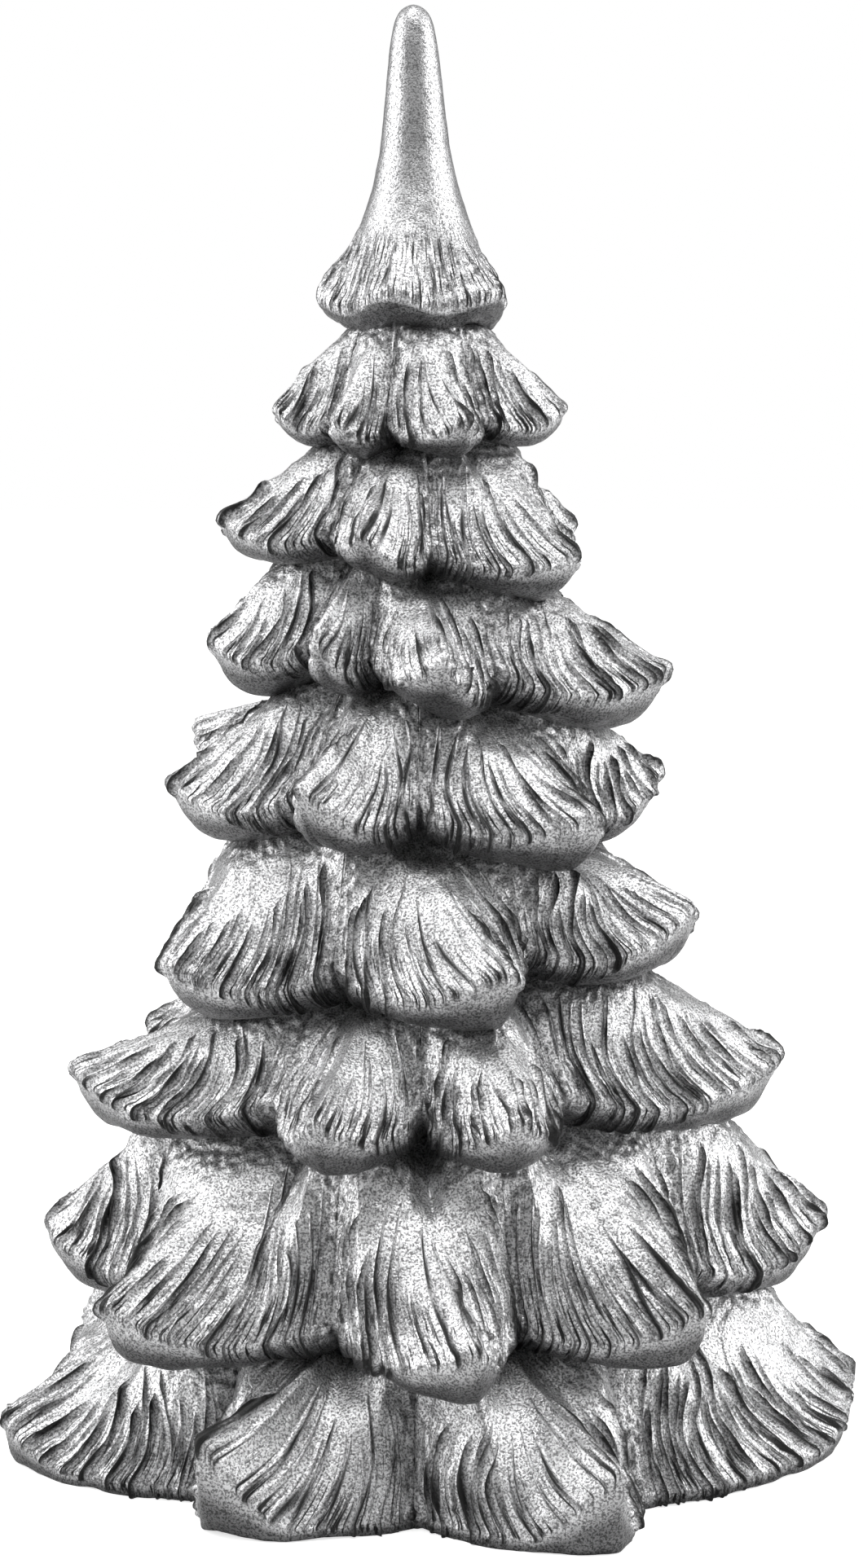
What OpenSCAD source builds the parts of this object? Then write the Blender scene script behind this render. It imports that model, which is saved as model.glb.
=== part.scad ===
// Silver fir-tree ornament: one casting, divided along its sculpted boughs.
// +Z is up, the flat base lies on z = 0, and -Y is the front.
// Azimuths are in degrees, 0 at the front and growing towards +X.

/* [Tree] */
// Height from the flat base to the tip of the spire
tree_h = 200; // [150:5:260]
// Sideways lean of the tip, negative towards -X
tip_lean = -2.5; // [-6:0.5:6]

/* [Spire] */
// Depth of the skirt's lobes, as a share of its radius
skirt_lobing = 0.08; // [0:0.01:0.12]
// Number of lobes round the skirt
skirt_lobes = 5; // [3:1:8]

/* [Boughs] */
// How far a bough's cheeks swell between its ridge and its valleys
cheek_swell = 0.06; // [0:0.02:0.4]
// Drop of the combed edge from the tips to the valleys, as a share of the bough's depth
edge_drop = 0.1; // [0:0.05:0.55]
// Extra sag of the combed edge half-way along it, as a share of the bough's depth
edge_sag = 0.4; // [0:0.05:0.45]
// How far the end face tucks in for each millimetre down, in the top tier
top_tuck = 1.25; // [0.8:0.05:1.4]
// The same in the lowest hanging tier
low_tuck = 0.7; // [0.4:0.05:1]
// The same for the rim of the base
rim_tuck = 0.3; // [0.1:0.05:0.5]
// Reach of the valleys between the boughs, as a share of the reach of their tips
valley_share = 0.72; // [0.66:0.01:0.85]
// Roundness of a bough's outline seen from above, 1 for straight sides up to the tip
petal = 1.05; // [0.7:0.05:1.5]
// How much deeper the end face tucks in at the valleys, as a share of the bough's reach
notch = 0.1; // [0:0.01:0.15]
// Rise of the underside from under the tip to the valleys, as a share of the bough's depth
cusp_lift = 0.35; // [0.2:0.05:0.4]

/* [Heart] */
// Radius of the solid heart at the base
heart_base_r = 26; // [20:1:34]
// Radius of the solid heart under the spire
heart_top_r = 4.5; // [3:0.5:6]

/* [Hidden] */
// The plan below is drawn for a tree of this height and then scaled.
plan_h = 200;
size = tree_h / plan_h;

// Spire outline, as [height, radius] from the neck up to the tip
spire_floor = 156;
spire_outline = [
    [spire_floor, 9.4],
    [157, 11.4],
    [158.6, 12.8],
    [160.4, 12.9],
    [162.4, 11.4],
    [166.6, 9.2],
    [171, 7.4],
    [175.6, 5.9],
    [180.2, 4.9],
    [185, 4.3],
    [190, 3.8],
    [194.5, 3.3],
    [198, 2.6],
    [199.4, 1.7],
    [199.9, 0.8],
    [200, 0.2],
];
spire_sides = 30;
// Above this height the spire is smooth and round, and below it the lobes grow
lobe_top = 176;
// Azimuth of the skirt's left-hand lobe
skirt_turn = -90;

// Each tier is [depth of its boughs, boughs], from the top down.
// Each bough is [name, tip azimuth, tip reach, tip height, valley azimuth],
// and the valley is the one between this bough and the next.
tiers = [
    [5.5, [
        ["left", -72, 21, 146, -54],
        ["front_left", -36, 19, 144, -18],
        ["front", 20, 19.5, 144, 35],
        ["right", 77, 21, 146, 104],
        ["back_right", 133, 20, 145, 158],
        ["back", 184, 20.5, 144, 208],
        ["back_left", 236, 20, 145, 264],
    ]],
    [6.5, [
        ["left", -75, 28.5, 131, -38],
        ["front_left", -19, 24.5, 129.5, 5],
        ["front_right", 52, 27, 126, 80],
        ["right", 104, 22.5, 130, 132],
        ["back_right", 162, 26, 129, 192],
        ["back_left", 226, 26.5, 130, 258],
    ]],
    [9, [
        ["left", -76, 30.5, 115, -44],
        ["front_left", -32, 27, 116, -19],
        ["front", 6, 30, 113.5, 25],
        ["right", 75, 35, 110.5, 108],
        ["back_right", 140, 31, 113, 166],
        ["back", 194, 32, 112, 222],
        ["back_left", 244, 29, 114, 264],
    ]],
    [9, [
        ["left", -75, 36.5, 95, -38],
        ["front_left", -28, 35, 96.5, -1],
        ["front_right", 40, 36.5, 92.5, 56],
        ["right", 84, 33.5, 95.5, 112],
        ["back_right", 142, 36, 95, 170],
        ["back", 198, 36, 93, 224],
        ["back_left", 246, 36.5, 101, 264],
    ]],
    [9, [
        ["left", -58, 41, 72, -24],
        ["front", 16, 41, 73.5, 26],
        ["front_right", 64, 41, 79, 96],
        ["back_right", 126, 39, 75, 154],
        ["back", 181, 40, 73, 208],
        ["back_left", 236, 38.5, 75, 262],
    ]],
    [9, [
        ["left", -78, 50.5, 55.5, -35],
        ["front_left", -18, 47, 55, -1],
        ["front_right", 15, 47, 55.5, 31],
        ["right", 78, 50, 57.5, 112],
        ["back_right", 140, 47.5, 55, 166],
        ["back", 190, 48.5, 54, 216],
        ["back_left", 240, 47, 56, 262],
    ]],
    [9, [
        ["left", -90, 55, 32, -70],
        ["front_left", -53, 54.5, 27.5, -19],
        ["front", 7, 54.5, 27.5, 16],
        ["front_right", 42, 54.5, 29.5, 58],
        ["right", 88, 56, 33, 106],
        ["back_right", 124, 55, 27, 150],
        ["back", 176, 53.5, 30, 202],
        ["back_left", 228, 54, 28, 252],
    ]],
    [9, [
        ["left", -77, 61.5, 7, -42],
        ["front_left", -32, 57, 14, -3],
        ["front_right", 24, 60, 12, 37],
        ["right", 96, 61.5, 8, 126],
        ["back_right", 146, 60, 9, 173],
        ["back", 200, 59, 10, 226],
        ["back_left", 236, 58, 11, 253],
    ]],
];
first_tier = 2;

// Places of a bough's sections, -1 at the left valley, 0 on the ridge, 1 at the right valley
section_places = [-1, -0.72, -0.45, -0.2, 0, 0.2, 0.45, 0.72, 1];
// Places along the roof of a bough, 0 at the root and 1 at the combed edge
roof_places = [0, 0.25, 0.5, 0.72, 0.9, 1];
// Places down the end face under the edge, as [share of the tuck, share of the drop]
face_places = [[0.18, 0.42], [0.55, 0.82], [1, 1]];
// How sharply the combed edge hooks down from the tip, and the least height of the base's rim
edge_hook = 2;
least_rim = 2;
// Radius of the spire's underside, which the first tier hangs under
spire_neck = 10.5;
// A bough's root starts this far inside the underside that it hangs under
root_inset = 1.4;
// A root is never wider than this share of the edge's reach
root_share = 0.88;
// Clearance between a bough's root and the bough it hangs under, and between a bough and the heart
root_gap = 0.2;
heart_gap = 0.3;
// The finish of the casting
silver = [0.76, 0.76, 0.78];
shaded_silver = [0.55, 0.55, 0.57];

// Helpers: a blend of two values, a point from azimuth, reach and height, and the heart's radius
function mix(a, b, t) = a + (b - a) * t;
function place(az, r, z) = size * [r * sin(az) + tip_lean * z / plan_h, -r * cos(az), z];
function heart_r(z) = mix(heart_base_r, heart_top_r, min(z, spire_floor) / spire_floor);
function is_base(k) = k == len(tiers) - 1;
// How far the end faces of hanging tier k tuck in for each millimetre down
function tuck(k) = mix(top_tuck, low_tuck, k / (len(tiers) - 2));

// Faces of a solid whose closed rings of points are stacked in a row
function ring_faces(rings, sides) = [
    [for (j = [0:sides - 1]) j],
    for (i = [0:rings - 2])
        for (j = [0:sides - 1])
            for (corner = [0, 1])
                let (a = i * sides + j, b = i * sides + (j + 1) % sides)
                    corner == 0 ? [a, a + sides, b] : [b, a + sides, b + sides],
    [for (j = [sides - 1:-1:0]) (rings - 1) * sides + j],
];

// The valley to the right of bough i of tier k, as [azimuth, reach, height]
function valley(k, i) =
    let (row = tiers[k][1],
         here = row[i],
         next = row[(i + 1) % len(row)],
         reach = valley_share * (here[2] + next[2]) / 2,
         z = (here[3] + next[3]) / 2 - edge_drop * tiers[k][0])
    [here[4], reach, is_base(k) ? least_rim : z];

// The valley to its left, turned back to lie before its own tip
function left_valley(k, i) =
    let (count = len(tiers[k][1]), v = valley(k, (i + count - 1) % count))
    i == 0 ? v - [360, 0, 0] : v;

// Every bough as [node name, tier index, tip, left valley, right valley]
boughs = [
    for (k = [0:len(tiers) - 1])
        for (i = [0:len(tiers[k][1]) - 1])
            let (b = tiers[k][1][i])
            [str("tier_", k + first_tier, "_", b[0]),
             k,
             [b[1], b[2], b[3]],
             left_valley(k, i),
             valley(k, i)],
];

// Height of a bough's underside at place t across it
function underside(b, t) =
    let (depth = tiers[b[1]][0],
         side = t < 0 ? b[3] : b[4],
         fall = 1 - pow(1 - abs(t), edge_hook))
    is_base(b[1]) ? 0
    : mix(b[2][2], side[2] + edge_drop * depth, fall) - depth * (1 - cusp_lift * t * t);

// Place across a bough of an azimuth, beyond -1 or 1 where the bough doesn't reach it
function place_across(b, az) =
    let (turn = az - b[2][0], a = turn - 360 * round(turn / 360))
    a < 0 ? a / (b[2][0] - b[3][0]) : a / (b[4][0] - b[2][0]);

// Height of the underside of tier k at an azimuth, or of the spire's above the first tier
function hanging_height(k, az) =
    k < 0 ? spire_floor
    : min([for (b = boughs)
        if (b[1] == k && abs(place_across(b, az)) <= 1.05)
            underside(b, max(-1, min(1, place_across(b, az))))]);

// Height and reach of the combed edge at place t across a bough, and how far the end face tucks in
function bough_edge(b, t) =
    let (away = abs(t),
         side = t < 0 ? b[3] : b[4],
         fall = 1 - pow(1 - away, edge_hook),
         sag = edge_sag * tiers[b[1]][0] * 4 * away * (1 - away),
         z = max(mix(b[2][2], side[2], fall) - sag, least_rim),
         tucked = tuck(b[1]) * (z - underside(b, t)) + notch * b[2][1] * away)
    [z,
     mix(b[2][1], side[1], pow(away, petal)),
     is_base(b[1]) ? rim_tuck * z : tucked];

// Radius inside which the underside of tier k hangs at an azimuth, or the spire's above the first tier
function hanging_reach(k, az) =
    k < 0 ? spire_neck
    : min([for (b = boughs)
        if (b[1] == k && abs(place_across(b, az)) <= 1.05)
            let (edge = bough_edge(b, max(-1, min(1, place_across(b, az)))))
            edge[1] - edge[2]]);

// Points round one section of a bough, from the root over the roof and back underneath
function bough_section(b, t) =
    let (away = abs(t),
         side = t < 0 ? b[3] : b[4],
         root_az = mix((b[3][0] + b[4][0]) / 2, side[0], away),
         edge_az = mix(b[2][0], side[0], away),
         root_z = hanging_height(b[1] - 1, root_az) - root_gap,
         edge = bough_edge(b, t),
         root = min(hanging_reach(b[1] - 1, root_az) - root_inset, root_share * edge[1]),
         edge_z = edge[0],
         reach = edge[1],
         tucked = edge[2],
         base_z = underside(b, t),
         drop = edge_z - base_z,
         swell = cheek_swell * 4 * away * (1 - away))
    [
        place(root_az, heart_r(root_z) + heart_gap, root_z),
        for (s = roof_places)
            place(mix(root_az, edge_az, pow(s, 1.3)),
                  mix(root, reach, pow(s, 1 - swell)),
                  mix(root_z, edge_z, pow(s, 1 + 1.6 * swell))),
        for (f = face_places)
            place(edge_az, reach - f[0] * tucked, edge_z - f[1] * drop),
        place(edge_az, heart_r(base_z) + heart_gap, base_z),
    ];

// One bough, a closed solid between its two valleys
module bough(b) {
    sections = [for (t = section_places) bough_section(b, t)];
    color(silver)
        polyhedron(
            points = [for (s = sections) each s],
            faces = ring_faces(len(sections), len(sections[0])),
            convexity = 6
        );
}

// The smooth spire and its lobed skirt
module spire() {
    color(silver)
        polyhedron(
            points = [
                for (ring = spire_outline)
                    for (j = [0:spire_sides - 1])
                        let (az = 360 * j / spire_sides,
                             below = max(lobe_top - ring[0], 0) / (lobe_top - spire_floor),
                             lobing = skirt_lobing * below * cos(skirt_lobes * (az - skirt_turn)))
                        place(az, ring[1] * (1 + lobing), ring[0])
            ],
            faces = ring_faces(len(spire_outline), spire_sides),
            convexity = 4
        );
}

// The solid heart of the casting, inside the boughs and under the spire
module heart() {
    color(shaded_silver)
        polyhedron(
            points = [
                for (z = [0, spire_floor])
                    for (j = [0:spire_sides - 1])
                        place(360 * j / spire_sides, heart_r(z), z)
            ],
            faces = ring_faces(2, spire_sides),
            convexity = 2
        );
}

spire();
heart();
for (b = boughs)
    bough(b);
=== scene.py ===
"""A silver cast fir-tree ornament: carved boughs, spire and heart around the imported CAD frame.

Lengths in the carving are in millimetres. Azimuths are in degrees, 0 at the front (-Y), growing towards +X.
Each bough has a place t across it, -1 at its left valley, 0 on its ridge and 1 at its right valley.
"""

import math

import bpy
import numpy as np
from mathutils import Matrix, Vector


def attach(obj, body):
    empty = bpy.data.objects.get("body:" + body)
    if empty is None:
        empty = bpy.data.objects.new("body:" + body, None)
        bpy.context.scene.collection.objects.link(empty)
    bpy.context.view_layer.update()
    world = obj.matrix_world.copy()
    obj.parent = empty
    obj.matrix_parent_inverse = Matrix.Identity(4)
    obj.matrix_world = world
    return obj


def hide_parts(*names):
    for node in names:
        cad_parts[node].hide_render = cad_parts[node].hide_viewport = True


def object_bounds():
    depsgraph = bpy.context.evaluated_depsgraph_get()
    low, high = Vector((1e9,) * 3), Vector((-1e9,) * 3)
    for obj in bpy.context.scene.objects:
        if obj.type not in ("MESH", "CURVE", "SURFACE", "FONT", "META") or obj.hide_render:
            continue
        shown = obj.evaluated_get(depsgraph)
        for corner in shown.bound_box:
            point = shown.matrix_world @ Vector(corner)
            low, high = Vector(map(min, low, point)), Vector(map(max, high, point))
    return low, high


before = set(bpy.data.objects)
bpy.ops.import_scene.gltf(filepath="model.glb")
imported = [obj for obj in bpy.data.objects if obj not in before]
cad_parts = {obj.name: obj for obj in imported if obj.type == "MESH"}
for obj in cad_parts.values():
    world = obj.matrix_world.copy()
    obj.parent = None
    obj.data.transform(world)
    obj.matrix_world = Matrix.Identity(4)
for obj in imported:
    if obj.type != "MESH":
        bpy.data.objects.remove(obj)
cad_low, cad_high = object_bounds()

MM = 0.001               # one millimetre in metres
TREE_HEIGHT = cad_high.z / MM
BODY = "root"            # the only body, since nothing moves


# ---------------------------------------------------------------- noise

def lattice_value(ix, iy, iz, seed):
    """A repeatable random number from -1 to 1 for each whole-numbered place."""
    h = (ix * 374761393 + iy * 668265263 + iz * 2147483647 + seed * 144665) & 0xFFFFFFFF
    h = ((h ^ (h >> 13)) * 1274126177) & 0xFFFFFFFF
    h = (h ^ (h >> 16)) & 0xFFFFFF
    return h / float(0x7FFFFF) - 1.0


def noise(points, scale, seed=0):
    """Smooth noise from -1 to 1, with one hump in each `scale` millimetres."""
    p = points / scale
    base = np.floor(p).astype(np.int64)
    f = p - base
    f = f * f * f * (f * (f * 6 - 15) + 10)
    total = np.zeros(p.shape[:-1])
    for dx in (0, 1):
        wx = f[..., 0] if dx else 1 - f[..., 0]
        for dy in (0, 1):
            wy = f[..., 1] if dy else 1 - f[..., 1]
            for dz in (0, 1):
                wz = f[..., 2] if dz else 1 - f[..., 2]
                corner = lattice_value(base[..., 0] + dx, base[..., 1] + dy, base[..., 2] + dz, seed)
                total += wx * wy * wz * corner
    return total


def layered_noise(points, scale, layers, seed=0):
    """Noise with finer and weaker layers on top."""
    total = np.zeros(points.shape[:-1])
    for i in range(layers):
        total += noise(points + 17.3 * i, scale / 2 ** i, seed + i) / 2 ** i
    return total


def mix(a, b, t):
    """A blend that is a at t = 0 and b at t = 1."""
    return a + (b - a) * t


def ease(x, low, high):
    """0 below low, 1 above high, and smooth in between."""
    t = np.clip((x - low) / (high - low), 0, 1)
    return t * t * (3 - 2 * t)


# ---------------------------------------------------------------- places in the frame

def node_points(name):
    """The points of a CAD node in millimetres."""
    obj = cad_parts[name]
    flat = np.empty(len(obj.data.vertices) * 3)
    obj.data.vertices.foreach_get("co", flat)
    return flat.reshape(-1, 3) / MM


spire_points = node_points("spire")
apex = spire_points[spire_points[:, 2] > TREE_HEIGHT - 0.3].mean(axis=0)
LEAN = apex[0] / apex[2]     # sideways lean of the axis for each millimetre up


def polar(points):
    """Azimuth, radius and height about the leaning axis."""
    x = points[:, 0] - LEAN * points[:, 2]
    return np.degrees(np.arctan2(x, -points[:, 1])), np.hypot(x, points[:, 1]), points[:, 2]


def place(azimuth, radius, height):
    """The opposite of polar()."""
    a = np.radians(azimuth)
    return np.stack([radius * np.sin(a) + LEAN * height, -radius * np.cos(a), height], axis=-1)


def wrapped(angle):
    """The same angle between -180 and 180."""
    return (angle + 180) % 360 - 180


# Places across a bough of its CAD sections: -1 and 1 at its two valleys, and 0 on its ridge
SECTIONS = [-1, -0.72, -0.45, -0.2, 0, 0.2, 0.45, 0.72, 1]
SAME_AZIMUTH = 0.3           # points no further apart than this many degrees lie on one section
OUTER_SHARE = 0.6            # a point beyond this share of the edge's radius is on the outside


def read_bough(name):
    """The driving places of one bough, read from its CAD node.

    The tip and the left and right valleys are each (azimuth, radius, height, height of the underside).
    """
    az, r, z = polar(node_points(name))
    outermost = int(np.argmax(r))
    turn = wrapped(az - az[outermost])
    bough = {"name": name, "tier": int(name.split("_")[1])}
    for key, end in (("tip", 0.0), ("left", turn.min()), ("right", turn.max())):
        near = np.abs(turn - end) < SAME_AZIMUTH
        edge = np.argmax(np.where(near, r, 0))
        base = z[near & (r > OUTER_SHARE * r[edge])].min()
        bough[key] = (az[outermost] + end, r[edge], z[edge], base)
    return bough


def read_root(b):
    """Radius and height of a CAD bough's root at its sections."""
    az, r, z = polar(node_points(b["name"]))
    middle = (b["left"][0] + b["right"][0]) / 2
    places = []
    for t in SECTIONS:
        side = b["left"][0] if t < 0 else b["right"][0]
        near = np.abs(wrapped(az - mix(middle, side, abs(t)))) < SAME_AZIMUTH
        top = near & (z > z[near].max() - 0.05)
        places.append((r[top].max(), z[top].max()))
    return np.array(places)


boughs = [read_bough(n) for n in sorted(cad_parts) if n.startswith("tier_")]
FIRST_TIER = min(b["tier"] for b in boughs)
BASE_TIER = max(b["tier"] for b in boughs)
for b in boughs:
    b["root"] = read_root(b)
    b["root_z"] = b["root"][:, 1].min()
    b["seed"] = 101 + 7 * boughs.index(b)


# ---------------------------------------------------------------- the carved bough

# Shape of a bough, with the same numbers as the CAD boughs
CHEEK_SWELL = 0.06
PETAL = 1.05
EDGE_HOOK = 2
EDGE_SAG = 0.4
CUSP_LIFT = 0.35
TOP_TUCK = 1.25
LOW_TUCK = 0.7
RIM_TUCK = 0.3
NOTCH = 0.1
LEAST_RIM = 2

ROOT_LAP = 1.0               # how far a carved root runs up into the bough above it
RIDGE_ROUNDING = 0.03        # half-width of the rounding along the ridge, as a share of the bough
SHRINK = 0.99                # the carved surface is drawn in by 1% to leave room for its relief
BOX_MARGIN = 0.02            # and stays this far inside the CAD model's box
ACROSS = 0.13
ALONG = 0.33


def ends(b, t, i):
    """The i-th value of the valley on the same side of the ridge as t."""
    return np.where(t < 0, b["left"][i], b["right"][i])


def bough_roof(b, t, s):
    """The smooth roof of a bough at places t across it (-1 to 1) and s down it (0 to 1)."""
    away = np.abs(t)
    soft = np.clip(np.sqrt(away ** 2 + RIDGE_ROUNDING ** 2) - RIDGE_ROUNDING, 0, 1)
    depth = b["tip"][2] - b["tip"][3]
    middle = (b["left"][0] + b["right"][0]) / 2
    fall = 1 - (1 - soft) ** EDGE_HOOK
    reach = mix(b["tip"][1], ends(b, t, 1), soft ** PETAL)
    sag = EDGE_SAG * depth * 4 * away * (1 - away)
    edge_z = np.maximum(mix(b["tip"][2], ends(b, t, 2), fall) - sag, LEAST_RIM)
    root = np.interp(t, SECTIONS, b["root"][:, 0])
    root_z = np.interp(t, SECTIONS, b["root"][:, 1]) + ROOT_LAP
    swell = CHEEK_SWELL * 4 * away * (1 - away)
    azimuth = mix(mix(middle, b["tip"][0], s ** 1.3), ends(b, t, 0), away)
    radius = mix(root, reach, s ** (1 - swell))
    height = mix(root_z, edge_z, s ** (1 + 1.6 * swell))
    return azimuth, radius, height


def bough_face(b, t, u):
    """The smooth end face under the combed edge, from u = 0 at the edge to u = 1 underneath."""
    azimuth, reach, edge_z = bough_roof(b, t, np.ones_like(t))
    away = np.abs(t)
    fall = 1 - (1 - away) ** EDGE_HOOK
    is_base = b["tier"] == BASE_TIER
    lift = 0 if is_base else CUSP_LIFT * (b["tip"][2] - b["tip"][3])
    base_z = mix(b["tip"][3], ends(b, t, 3) - lift, fall) + lift * away ** 2
    drop = edge_z - base_z
    if is_base:
        tuck = RIM_TUCK * drop
    else:
        down_the_tree = (b["tier"] - FIRST_TIER) / (BASE_TIER - 1 - FIRST_TIER)
        tuck = mix(TOP_TUCK, LOW_TUCK, down_the_tree) * drop + NOTCH * b["tip"][1] * away
    inward = 0.35 * u + 0.65 * u ** 2
    return azimuth, reach - tuck * inward, edge_z - drop * np.sin(u * math.pi / 2)


def grid_mesh(name, grid, attributes):
    """A closed mesh from a grid of points: its columns run round a section and its rows from end to end."""
    rows, cols = grid.shape[:2]
    index = np.arange(rows * cols).reshape(rows, cols)
    here, after = index[:-1], index[1:]
    quads = np.stack([here, np.roll(here, -1, axis=1), np.roll(after, -1, axis=1), after], axis=-1)
    quads = quads.reshape(-1, 4)
    corners = np.concatenate([quads.ravel(), index[0, ::-1], index[-1]])
    starts = np.concatenate([np.arange(len(quads)) * 4, [len(quads) * 4, len(quads) * 4 + cols]])
    mesh = bpy.data.meshes.new(name)
    mesh.vertices.add(rows * cols)
    mesh.vertices.foreach_set("co", (grid.reshape(-1, 3) * MM).ravel())
    mesh.loops.add(len(corners))
    mesh.loops.foreach_set("vertex_index", corners.astype(np.int32))
    mesh.polygons.add(len(starts))
    mesh.polygons.foreach_set("loop_start", starts.astype(np.int32))
    mesh.update(calc_edges=True)
    mesh.polygons.foreach_set("use_smooth", np.ones(len(starts), dtype=bool))
    for key, values in attributes.items():
        kind, field = ("FLOAT_VECTOR", "vector") if values.ndim == 3 else ("FLOAT", "value")
        layer = mesh.attributes.new(key, kind, "POINT")
        layer.data.foreach_set(field, values.astype(np.float32).ravel())
    mesh.validate()
    obj = bpy.data.objects.new(name, mesh)
    bpy.context.scene.collection.objects.link(obj)
    return obj


def kept_in_box(grid):
    """The points drawn in a little and kept inside the box of the CAD model."""
    lowest = np.array(cad_low) / MM + BOX_MARGIN
    highest = np.array(cad_high) / MM - BOX_MARGIN
    return np.clip(grid * [SHRINK, SHRINK, 1], lowest, highest)


def grid_normals(grid):
    """Outward normals of a grid whose columns run round the section and rows across it."""
    normal = np.cross(np.gradient(grid, axis=0), np.gradient(grid, axis=1))
    return normal / np.maximum(np.linalg.norm(normal, axis=-1, keepdims=True), 1e-9)


def comb(g, s, rng, width, pitch, narrow, broad, late):
    """Depth of comb strokes, from 0 to 1, on a surface where g runs across and s runs down.

    The surface is `width` mm across from g = -1 to g = 1. The strokes are `pitch` mm apart, with half-widths
    from `narrow` to `broad` mm. Each starts as a point, further down (up to s = late) where g is near 0, and
    widens towards the edge at s = 1.
    """
    depth = np.zeros_like(g)
    count = max(int(width / pitch), 8)
    millimetre = 2 / width
    marks = (np.arange(count) + 0.5 + rng.uniform(-0.38, 0.38, count)) / count * 2 - 1
    for mark in marks:
        share = rng.random() ** 1.6
        half = mix(narrow, broad, share) * millimetre
        strength = mix(0.35, 1.0, rng.random()) * mix(0.7, 1.0, share)
        start = mix(late, 0.22, abs(mark) ** 0.7) + rng.uniform(-0.18, 0.18)
        waver = 0.75 + 0.25 * np.sin(s * rng.uniform(8, 20) + rng.uniform(0, 6))
        bend = 0.7 * millimetre * np.sin(s * rng.uniform(3, 8) + rng.uniform(0, 6)) * rng.uniform(0, 1)
        taper = mix(0.3, 1.0, ease(s, start, start + 0.35)) * mix(1.0, 0.75, ease(s, 0.8, 1.0))
        profile = np.clip(1 - ((g - mark - bend) / (half * taper)) ** 2, 0, 1)
        depth = np.maximum(depth, strength * waver * profile ** 0.8 * ease(s, start, start + 0.12))
    return depth


def pits(points, centres, radii):
    """Depth in millimetres of round bubble holes at some places."""
    depth = np.zeros(points.shape[:-1])
    for centre, radius in zip(centres, radii):
        away = np.linalg.norm(points - centre, axis=-1) / radius
        depth = np.maximum(depth, 1.1 * radius * np.clip(1 - away ** 2, 0, 1) ** 0.5)
    return depth


def bough_grid(b, width, rise, sweep):
    """Points of a bough's smooth roof and end face, with their places on it.

    g runs across it from -1 to 1, s down its roof from 0 to 1, and u down its end face from 0 to 1. Lines of
    equal g gather at the root and fan out to the edge, more so where `sweep` is greater.
    """
    face_height = b["tip"][2] - b["tip"][3]
    across = np.linspace(-1, 1, int(width / ACROSS) + 2)
    down = np.linspace(0, 1, int(1.45 * rise / ALONG) + 2)
    below = np.linspace(0, 1, int(face_height * 1.2 / ALONG) + 3)[1:]
    g, s = np.meshgrid(across, down, indexing="ij")
    t = g * mix(np.clip(s, 0.02, 1) ** sweep, 1, g ** 2)
    t = t + np.sign(g) * 0.45 * np.abs(g) * (1 - np.abs(g)) * np.sin(math.pi * s ** 1.3)
    roof = place(*bough_roof(b, t, s))
    gu, u = np.meshgrid(across, below, indexing="ij")
    grid = np.concatenate([roof, place(*bough_face(b, gu, u))], axis=1)
    g = np.concatenate([g, gu], axis=1)
    s = np.concatenate([s, np.ones_like(u)], axis=1)
    u = np.concatenate([np.zeros_like(roof[..., 0]), u], axis=1)
    for _ in range(2):
        grid[:, 1:-1] = (grid[:, :-2] + 2 * grid[:, 1:-1] + grid[:, 2:]) / 4
    return across, grid, g, s, u


def bough_relief(b, grid, g, s, u, width, rng):
    """Height of a bough's relief in millimetres, how hollow it is as a mask for painted shade, and how
    combed it is, each 0 to 1.
    """
    seed = b["seed"]
    size = min(b["tip"][1] / 40, 1)
    inside = ease(1 - np.abs(g), 0, 0.05)
    apart = ease(1 - np.abs(g), 0.02, 0.12)
    flank = ease(np.abs(g), 0.3, 0.8)
    on_roof = 1 - ease(u, 0.02 + 0.5 * flank, 0.2 + 0.8 * flank)
    stroke = comb(g, s, rng, width, 1.5, 0.18, 0.5, 0.6) * on_roof * apart
    combed = ease(s, 0.3 + 0.35 * (1 - np.abs(g)), 0.95) * on_roof * apart

    # Soft lumps all over, and fine chatter that is stronger in patches and along the edge
    lumps = mix(0.25, 0.45, size) * layered_noise(grid, 7.0, 2, seed)
    chatter = layered_noise(grid, 1.3, 2, seed + 9)
    patch = ease(noise(grid, 8.0, seed + 5), 0.0, 0.5)
    edge_band = ease(s, 0.75, 0.97) * (1 - ease(u, 0.1, 0.35))

    # Rough joints at the root and along the valleys
    root_joint = 1 - ease(s, 0.12, 0.4)
    valley_joint = 1 - ease(1 - np.abs(g), 0.04, 0.25)
    joint = np.maximum(root_joint, valley_joint) * (1 - ease(u, 0.1, 0.5))
    rough = noise(grid, 0.9, seed + 21) + 0.6 * noise(grid * [1, 1, 0.4], 0.7, seed + 22)

    # A few bubble holes along the edge
    lip = np.flatnonzero((edge_band > 0.6).ravel())
    count = int(rng.integers(1, 6))
    chosen = rng.choice(lip, count, replace=False)
    holes = pits(grid, grid.reshape(-1, 3)[chosen], rng.uniform(0.25, 0.7, count) * mix(0.7, 1, size))

    height = inside * (lumps + chatter * (0.04 + 0.1 * patch * on_roof + 0.12 * edge_band))
    height += 0.22 * joint * inside * rough
    height -= mix(1.0, 1.7, size) * stroke + holes + 0.25 * (1 - inside)
    # Painted shade: the strokes, bubble holes, valleys and root joints get a mask that darkens the paint
    # where shade falls in them
    cavity_shade = ease(stroke, 0.15, 0.5) + 0.7 * ease(holes, 0.1, 0.5) + 0.35 * (1 - inside)
    cavity_shade = np.clip(cavity_shade + 0.5 * joint * ease(-rough, 0.15, 0.8) + 0.15 * joint, 0, 1)
    return height, cavity_shade, combed


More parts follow.
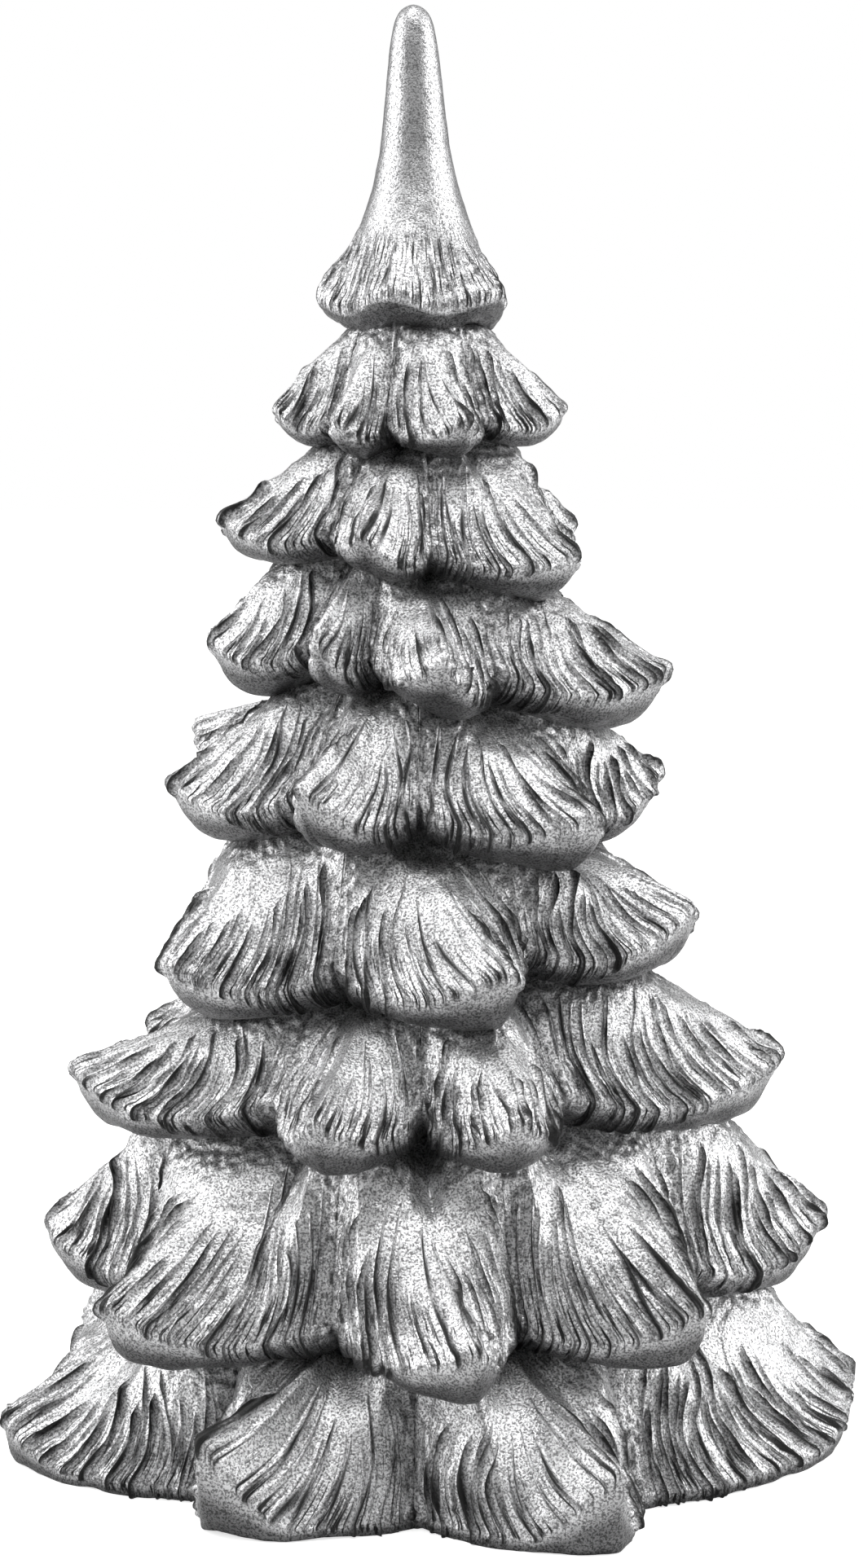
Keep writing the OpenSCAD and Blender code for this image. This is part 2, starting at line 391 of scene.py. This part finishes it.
def carve_bough(b):
    """One combed bough, closed behind by a hidden wall at the heart."""
    rng = np.random.default_rng(b["seed"])
    rise = b["root_z"] - b["tip"][2]
    width = math.radians(b["right"][0] - b["left"][0]) * b["tip"][1]
    across, grid, g, s, u = bough_grid(b, width, rise, rng.uniform(0.45, 0.65))
    height, cavity_shade, combed = bough_relief(b, grid, g, s, u, width, rng)
    grid = kept_in_box(grid + grid_normals(grid) * height[..., None])

    wall_r = np.full(len(across), max(b["tip"][1] * 0.35, 4))
    azimuth = mix(b["left"][0], b["right"][0], (across + 1) / 2)
    wall = [place(azimuth, wall_r, grid[:, -1, 2]), place(azimuth, wall_r, grid[:, 0, 2])]
    grid = np.concatenate([grid] + [line[:, None] for line in wall], axis=1)

    pad = np.zeros((len(across), len(wall)))
    down_mm = s * 1.3 * rise + u * 6
    stroke_place = np.stack([g * width / 2, down_mm, np.full_like(g, b["seed"])], axis=-1)
    attributes = {
        "cavity_shade": np.concatenate([cavity_shade, pad], axis=1),
        "underside": np.concatenate([u, pad + 1], axis=1),
        "combed": np.concatenate([combed, pad], axis=1),
        "stroke_place": np.concatenate([stroke_place, np.zeros((*pad.shape, 3))], axis=1),
    }
    obj = grid_mesh("carved_" + b["name"], grid, attributes)
    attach(obj, BODY)
    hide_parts(b["name"])
    return obj


# ---------------------------------------------------------------- the spire

SKIRT_TOP = 174              # height where the skirt's combing begins
SKIRT_LOBES = 5
SKIRT_LOBING = 0.08          # depth of the lobes, as a share of the radius
SKIRT_WAVE = 0.9             # how far the lobes lift the rim
SKIRT_TURN = -90             # azimuth of a lobe
STROKE_DEPTH = 0.85


def spire_outline():
    """Height and mean radius of the CAD spire from its apex down to its floor."""
    az, r, z = polar(spire_points)
    levels = np.unique(np.round(z, 2))[::-1]
    return levels, np.array([r[np.abs(z - level) < 0.02].mean() for level in levels])


def smooth_spire():
    """Heights and radii of the spire's outline, evenly spaced along it and rounded where it bends."""
    levels, radii = spire_outline()
    length = np.concatenate([[0], np.cumsum(np.hypot(np.diff(levels), np.diff(radii)))])
    down = np.linspace(0, length[-1], int(length[-1] / ALONG))
    z = np.interp(down, length, levels)
    r = np.interp(down, length, radii)
    for _ in range(6):
        z[1:-1] = (z[:-2] + 2 * z[1:-1] + z[2:]) / 4
        r[1:-1] = (r[:-2] + 2 * r[1:-1] + r[2:]) / 4
    return z, r, radii.max()


def carve_spire():
    """The smooth spire and its combed, lobed skirt."""
    rng = np.random.default_rng(77)
    z, r, widest = smooth_spire()
    width = 2 * math.pi * widest
    sides = int(width / ACROSS)
    around = np.linspace(180, -180, sides, endpoint=False)
    rim = int(np.argmax(r))
    past_rim = np.arange(len(z))[:, None] - rim
    zz, aa = np.meshgrid(z, around, indexing="ij")
    rr = np.repeat(r[:, None], sides, axis=1)
    skirt = ease(SKIRT_TOP - zz, 0, 14)
    lobe = np.cos(np.radians(SKIRT_LOBES * (aa - SKIRT_TURN)))
    rr = rr * (1 + SKIRT_LOBING * skirt * lobe)
    zz = zz + SKIRT_WAVE * skirt ** 2 * lobe
    grid = place(aa, rr, zz)
    above_rim = 1 - ease(past_rim, 0, 4)
    s = np.clip((SKIRT_TOP - zz) / (SKIRT_TOP - z[rim]), 0, 1)
    stroke = comb(aa / 180, s, rng, width, 1.3, 0.12, 0.4, 0.4) * above_rim
    chatter = layered_noise(grid, 1.2, 2, 31)
    lumps = layered_noise(grid, 5.0, 2, 33)
    height = skirt * (0.25 * lumps + 0.1 * chatter) + 0.03 * chatter
    height -= skirt * STROKE_DEPTH * stroke
    grid = kept_in_box(grid + grid_normals(grid) * height[..., None])
    attributes = {
        # Painted shade in the skirt's strokes
        "cavity_shade": skirt * ease(stroke, 0.15, 0.5),
        "underside": ease(past_rim, 0, 8) * np.ones_like(zz),
        "combed": ease(s, 0.1, 0.6) * above_rim,
        "stroke_place": np.stack([aa * width / 360, SKIRT_TOP - zz, np.full_like(zz, 7)], axis=-1),
    }
    obj = grid_mesh("carved_spire", grid, attributes)
    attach(obj, BODY)
    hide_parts("spire")
    return obj


# ---------------------------------------------------------------- materials

WHITE = (1, 1, 1)
PAINTED_SHADE_BLACK = (0.03, 0.03, 0.03)    # painted shade in the strokes, bubble holes, valleys and root joints, and in the fine comb scratches
FLAKE_SHADE = 0.3                    # tone between the flakes, as a share of theirs
CLOUD_SHADE = 0.78                   # tone of the cloudy patches
UNDERSIDE_PAINTED_SHADE = 0.24                   # painted shade on the downward-facing undersides and end faces, as a share of the paint's tone
CLOUD_MM = 6
BUMP_MM = 0.15


def new_material(name):
    """A node material, with its nodes, its links and its shader."""
    mat = bpy.data.materials.new(name)
    mat.use_nodes = True
    nodes = mat.node_tree.nodes
    return mat, nodes, mat.node_tree.links, nodes["Principled BSDF"]


def ramp(nodes, links, source, low, high, low_color, high_color):
    """A colour that goes from one to another as the source rises from low to high."""
    node = nodes.new("ShaderNodeValToRGB")
    node.color_ramp.elements[0].position = low
    node.color_ramp.elements[1].position = high
    node.color_ramp.elements[0].color = (*low_color, 1)
    node.color_ramp.elements[1].color = (*high_color, 1)
    links.new(source, node.inputs["Fac"])
    return node.outputs["Color"]


def grain_noise(nodes, links, coords, size_mm, detail, roughness):
    """Noise with grains of about size_mm."""
    node = nodes.new("ShaderNodeTexNoise")
    node.inputs["Scale"].default_value = 1 / (size_mm * MM)
    node.inputs["Detail"].default_value = detail
    node.inputs["Roughness"].default_value = roughness
    links.new(coords, node.inputs["Vector"])
    return node.outputs["Fac"]


def carved(nodes, name, output="Fac"):
    """One of the attributes that the carving left on the mesh."""
    node = nodes.new("ShaderNodeAttribute")
    node.attribute_name = name
    return node.outputs[output]


def darkened(nodes, links, factor, paint, dark):
    """The paint, going over to a dark colour where the factor is 1."""
    node = nodes.new("ShaderNodeMix")
    node.data_type = "RGBA"
    links.new(factor, node.inputs["Factor"])
    links.new(paint, node.inputs["A"])
    node.inputs["B"].default_value = (*dark, 1)
    return node.outputs["Result"]


def multiplied(nodes, links, paint, layer):
    """The paint multiplied by a layer."""
    node = nodes.new("ShaderNodeMix")
    node.data_type = "RGBA"
    node.blend_type = "MULTIPLY"
    node.inputs["Factor"].default_value = 1
    links.new(paint, node.inputs["A"])
    links.new(layer, node.inputs["B"])
    return node.outputs["Result"]


def comb_scratches(nodes, links):
    """Fine lines that run with the comb strokes, from 0 to 1, where the casting is combed: they sink the
    bump and are darkened as painted shade.
    """
    stretch = nodes.new("ShaderNodeVectorMath")
    stretch.operation = "MULTIPLY"
    stretch.inputs[1].default_value = (2.6, 0.22, 1)
    links.new(carved(nodes, "stroke_place", "Vector"), stretch.inputs[0])
    lines = nodes.new("ShaderNodeTexNoise")
    lines.inputs["Scale"].default_value = 1
    lines.inputs["Detail"].default_value = 2
    links.new(stretch.outputs["Vector"], lines.inputs["Vector"])
    dark_lines = nodes.new("ShaderNodeMapRange")
    dark_lines.inputs["From Min"].default_value = 0.47
    dark_lines.inputs["From Max"].default_value = 0.36
    links.new(lines.outputs["Fac"], dark_lines.inputs["Value"])
    both = nodes.new("ShaderNodeMath")
    both.operation = "MULTIPLY"
    links.new(dark_lines.outputs["Result"], both.inputs[0])
    links.new(carved(nodes, "combed"), both.inputs[1])
    return both.outputs["Value"]


def silver_paint(name, light, roughness, grain_mm, grain_bump):
    """Metallic silver paint with a bright flake grain, darker in the strokes as painted shade, and with
    painted shade underneath.
    """
    mat, nodes, links, shader = new_material(name)
    coords = nodes.new("ShaderNodeTexCoord").outputs["Object"]
    flakes = grain_noise(nodes, links, coords, grain_mm, 2, 0.6)
    clouds = grain_noise(nodes, links, coords, CLOUD_MM, 3, 0.6)
    between_flakes = tuple(c * FLAKE_SHADE for c in light)
    tone = ramp(nodes, links, flakes, 0.4, 0.56, between_flakes, light)
    cloudy = ramp(nodes, links, clouds, 0.3, 0.7, (CLOUD_SHADE,) * 3, WHITE)
    # Painted shade: the undersides and end faces, which face down, are darkened in colour
    underside_shade = ramp(nodes, links, carved(nodes, "underside"), 0.06, 0.42, WHITE, (UNDERSIDE_PAINTED_SHADE,) * 3)
    paint = multiplied(nodes, links, tone, cloudy)
    paint = multiplied(nodes, links, paint, underside_shade)
    # Painted shade: the strokes, holes, valleys and root joints darkened to near black
    paint = darkened(nodes, links, carved(nodes, "cavity_shade"), paint, PAINTED_SHADE_BLACK)
    scratch_depth_and_shade = comb_scratches(nodes, links)
    # Painted shade: the fine comb scratches darkened to near black
    paint = darkened(nodes, links, scratch_depth_and_shade, paint, PAINTED_SHADE_BLACK)
    links.new(paint, shader.inputs["Base Color"])

    gloss = ramp(nodes, links, flakes, 0.35, 0.65, (roughness + 0.12,) * 3, (roughness - 0.08,) * 3)
    links.new(gloss, shader.inputs["Roughness"])
    shader.inputs["Metallic"].default_value = 0.95

    relief = nodes.new("ShaderNodeMath")
    relief.operation = "MULTIPLY_ADD"
    relief.inputs[1].default_value = -1.6
    links.new(scratch_depth_and_shade, relief.inputs[0])
    links.new(flakes, relief.inputs[2])
    bump = nodes.new("ShaderNodeBump")
    bump.inputs["Strength"].default_value = grain_bump
    bump.inputs["Distance"].default_value = BUMP_MM * MM
    links.new(relief.outputs["Value"], bump.inputs["Height"])
    links.new(bump.outputs["Normal"], shader.inputs["Normal"])
    return mat


# ---------------------------------------------------------------- camera, light and floor

CAMERA_BACK = 2.4            # distance of the camera, in heights of the tree
CAMERA_UP = 0.735            # its height, in heights of the tree
CAMERA_TIP = 6.4             # how far it looks down, in degrees
CAMERA_LENS = 79.4
LIT_PLACE = Vector((0, 0, 0.1))
FLOOR_HALF = 4.0
FLOOR_TONE = (0.7, 0.7, 0.7, 1)
FLOOR_GLOW = 0.7


def add_camera():
    """A long lens level with the upper boughs, looking slightly down, with the tree filling the picture."""
    data = bpy.data.cameras.new("camera")
    data.sensor_width = 36
    data.lens = CAMERA_LENS
    camera = bpy.data.objects.new("camera", data)
    camera.location = (0, -CAMERA_BACK * cad_high.z, CAMERA_UP * cad_high.z)
    camera.rotation_euler = (math.radians(90 - CAMERA_TIP), 0, 0)
    bpy.context.scene.collection.objects.link(camera)
    bpy.context.scene.camera = camera


def add_softbox(name, place_m, size, power):
    """A rectangular soft light that points at the middle of the tree."""
    data = bpy.data.lights.new(name, "AREA")
    data.shape = "RECTANGLE"
    data.size, data.size_y = size
    data.energy = power
    lamp = bpy.data.objects.new(name, data)
    lamp.location = place_m
    lamp.rotation_euler = (LIT_PLACE - Vector(place_m)).to_track_quat("-Z", "Y").to_euler()
    bpy.context.scene.collection.objects.link(lamp)


def add_world():
    """Surrounding light that is bright at the sides and above and dark in front, on a white backdrop."""
    world = bpy.data.worlds.new("studio")
    world.use_nodes = True
    nodes, links = world.node_tree.nodes, world.node_tree.links
    coords = nodes.new("ShaderNodeTexCoord")
    parts = nodes.new("ShaderNodeSeparateXYZ")
    links.new(coords.outputs["Generated"], parts.inputs["Vector"])
    side = nodes.new("ShaderNodeMath")
    side.operation = "POWER"
    side.inputs[1].default_value = 4
    links.new(parts.outputs["X"], side.inputs[0])
    above = nodes.new("ShaderNodeMapRange")
    above.inputs["From Min"].default_value = 0.1
    above.inputs["To Max"].default_value = 0.95
    links.new(parts.outputs["Z"], above.inputs["Value"])
    both = nodes.new("ShaderNodeMath")
    both.operation = "MULTIPLY_ADD"
    both.inputs[1].default_value = 1.2
    links.new(side.outputs["Value"], both.inputs[0])
    links.new(above.outputs["Result"], both.inputs[2])
    path = nodes.new("ShaderNodeLightPath")
    strength = nodes.new("ShaderNodeMix")
    links.new(path.outputs["Is Camera Ray"], strength.inputs["Factor"])
    links.new(both.outputs["Value"], strength.inputs["A"])
    strength.inputs["B"].default_value = 1
    nodes["Background"].inputs["Color"].default_value = (1, 1, 1, 1)
    links.new(strength.outputs["Result"], nodes["Background"].inputs["Strength"])
    bpy.context.scene.world = world


def add_floor():
    """A pale floor, dimmer in the tree's reflections than to the camera, as under a bright backdrop."""
    corners = [(-1, -1), (1, -1), (1, 1), (-1, 1)]
    mesh = bpy.data.meshes.new("floor")
    mesh.from_pydata([(x * FLOOR_HALF, y * FLOOR_HALF, 0) for x, y in corners], [], [(0, 1, 2, 3)])
    floor = bpy.data.objects.new("floor", mesh)
    bpy.context.scene.collection.objects.link(floor)
    mat, nodes, links, shader = new_material("pale_floor")
    shader.inputs["Base Color"].default_value = FLOOR_TONE
    shader.inputs["Roughness"].default_value = 0.8
    path = nodes.new("ShaderNodeLightPath")
    glow = nodes.new("ShaderNodeMapRange")
    glow.inputs["To Max"].default_value = FLOOR_GLOW
    shader.inputs["Emission Color"].default_value = (1, 1, 1, 1)
    links.new(path.outputs["Is Camera Ray"], glow.inputs["Value"])
    links.new(glow.outputs["Result"], shader.inputs["Emission Strength"])
    mesh.materials.append(mat)


bpy.context.scene.view_settings.view_transform = "Standard"
add_camera()
add_world()
add_floor()
for side, x in (("left", -0.6), ("right", 0.6)):
    add_softbox(side + "_box", (x, -0.05, 0.3), (0.4, 0.7), 3.0)
add_softbox("top_box", (0, -0.2, 0.9), (0.5, 0.5), 3.7)

# Each paint is its tone, its roughness, the size of its grain in millimetres and the strength of its bump
bough_paint = silver_paint("bough_silver", (0.86, 0.86, 0.87), 0.42, 0.3, 0.8)
# The spire's lower tone is painted shade: the same silver toned down so its highlights stay below white
spire_paint = silver_paint("spire_silver", (0.78, 0.78, 0.79), 0.36, 0.26, 0.5)
# The heart's dark tone is painted shade: the same silver paint darkened for the core that sits deep between
# the boughs
heart_shaded_paint = silver_paint("heart_silver", (0.3, 0.3, 0.31), 0.6, 0.3, 0.5)

for b in boughs:
    carve_bough(b).data.materials.append(bough_paint)
carve_spire().data.materials.append(spire_paint)
heart_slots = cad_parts["heart"].data.materials
heart_slots.clear()
heart_slots.append(heart_shaded_paint)
